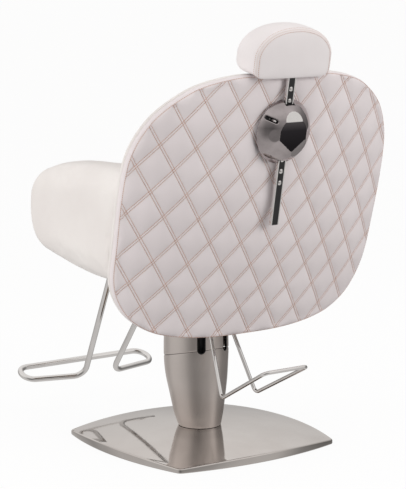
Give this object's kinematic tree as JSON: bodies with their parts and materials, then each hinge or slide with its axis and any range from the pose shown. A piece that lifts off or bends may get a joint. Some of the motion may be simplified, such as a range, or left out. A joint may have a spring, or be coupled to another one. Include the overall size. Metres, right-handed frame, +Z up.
{
  "type": "threading chair",
  "caption": "Hydraulic threading chair with a reclining quilted wrap-round back, sliding headrest, foot pedal loop, tube footrest and square polished base",
  "frame": {"origin": "on the floor under the middle of the square base", "axes": "+Z up, -Y the way the sitter faces, +X the sitter's left; metres"},
  "size_m": [0.8264, 0.9927, 1.1154],
  "materials": {
    "white_vinyl": "white upholstery vinyl, fine grain, satin",
    "polished_base": "mirror-polished stainless steel",
    "chrome_bar": "polished chrome",
    "cast_housing": "polished casting",
    "satin_column": "satin brushed",
    "black_rubber": "matt",
    "black_plastic": "matt",
    "steel": "grey enamel, satin",
    "bright_steel": "ground",
    "bronze": "machined",
    "iron": "as cast",
    "plywood": "sanded"
  },
  "bodies": {
    "base": {"base_cover": "polished_base", "base_core": "iron", "floor_underlay": "black_rubber", "base_bolts": "bright_steel", "pump_cylinder": "steel", "pump_gland": "bronze", "column_lower_cover": "satin_column", "column_upper_collar": "satin_column", "slot_liners": "black_plastic", "pedal_bushes": "bronze"},
    "plunger": {"pump_plunger": "bright_steel"},
    "pedal": {"pedal_shaft": "bright_steel", "pedal_hubs": "steel", "pedal_loop": "chrome_bar"},
    "ram": {"lift_ram": "chrome_bar"},
    "seat": {"swivel_head": "steel", "thrust_washer": "bronze", "swivel_plate": "steel", "swivel_plate_bolts": "bright_steel", "seat_beams": "steel", "seat_frame": "steel", "seat_board": "plywood", "seat_cushion": "white_vinyl", "left_arm_bracket": "steel", "right_arm_bracket": "steel", "arm_screws": "bright_steel", "left_arm": "white_vinyl", "right_arm": "white_vinyl", "footrest_sockets": "steel", "footrest_screws": "bright_steel", "footrest_tube": "chrome_bar", "seat_hinge_plates": "steel", "hinge_pins": "bright_steel", "spring_anchor": "steel", "spring_rod": "chrome_bar", "release_head": "black_plastic"},
    "valve_pin": {"release_pin": "bright_steel"},
    "lever": {"release_lever": "chrome_bar", "lever_grip": "black_plastic"},
    "gas_spring": {"spring_cylinder": "black_plastic", "spring_pin": "bright_steel"},
    "back": {"back_hinge_plates": "steel", "back_shell": "plywood", "rear_panel": "white_vinyl", "edge_strip": "white_vinyl", "front_lining": "white_vinyl", "inner_back_pad": "white_vinyl", "spring_lug": "steel", "housing_dome": "cast_housing", "housing_backplate": "steel", "housing_screws": "bright_steel", "bar_guide": "black_plastic"},
    "housing_tab": {"release_tab": "chrome_bar"},
    "bar_lock": {"lock_plunger": "bright_steel"},
    "headrest": {"headrest_bar": "chrome_bar", "bar_strip": "black_plastic", "bar_studs": "chrome_bar", "headrest_plate": "steel", "headrest_pad": "white_vinyl"}
  },
  "joints": [
    {"name": "pedal_press", "type": "hinge", "parent": "base", "child": "pedal", "pos_m": [0, 0.036, 0.306], "axis": [-1, 0, 0], "range_deg": [0, 18], "stiffness_Nm_per_rad": 8, "springref_deg": -34.38},
    {"name": "plunger_stroke", "type": "slide", "parent": "base", "child": "plunger", "axis": [0, 0, -1], "range_m": [0, 0.0045]},
    {"name": "seat_lift", "type": "slide", "parent": "base", "child": "ram", "axis": [0, 0, 1], "range_m": [0, 0.15]},
    {"name": "seat_swivel", "type": "hinge", "parent": "ram", "child": "seat", "pos_m": [0, 0, 0.398], "axis": [0, 0, 1], "continuous": true},
    {"name": "back_recline", "type": "hinge", "parent": "seat", "child": "back", "pos_m": [0, 0.165, 0.48], "axis": [-1, 0, 0], "range_deg": [0, 35]},
    {"name": "spring_stroke", "type": "slide", "parent": "seat", "child": "gas_spring", "axis": [0, -1, 0], "range_m": [0, 0.0316]},
    {"name": "release_pull", "type": "hinge", "parent": "seat", "child": "lever", "pos_m": [0, -0.104, 0.422], "axis": [-1, 0, 0], "range_deg": [0, 18], "stiffness_Nm_per_rad": 1, "springref_deg": -22.92},
    {"name": "valve_stroke", "type": "slide", "parent": "seat", "child": "valve_pin", "axis": [0, 1, 0], "range_m": [0, 0.0031]},
    {"name": "tab_slide", "type": "slide", "parent": "back", "child": "housing_tab", "axis": [0.9272, 0.0663, 0.3687], "range_m": [0, 0.008], "stiffness_N_per_m": 400, "springref_m": -0.004},
    {"name": "lock_stroke", "type": "slide", "parent": "back", "child": "bar_lock", "axis": [1, 0, 0], "range_m": [0, 0.0041]},
    {"name": "headrest_slide", "type": "slide", "parent": "back", "child": "headrest", "axis": [0, 0.1771, 0.9842], "range_m": [0, 0.12]}
  ],
  "couplings": [
    {"joint": "plunger_stroke", "follows": "pedal_press", "m_per_rad": 0.013},
    {"joint": "spring_stroke", "follows": "back_recline", "m_per_rad": 0.051615},
    {"joint": "valve_stroke", "follows": "release_pull", "m_per_rad": 0.0096},
    {"joint": "lock_stroke", "follows": "tab_slide", "ratio": 0.5}
  ]
}
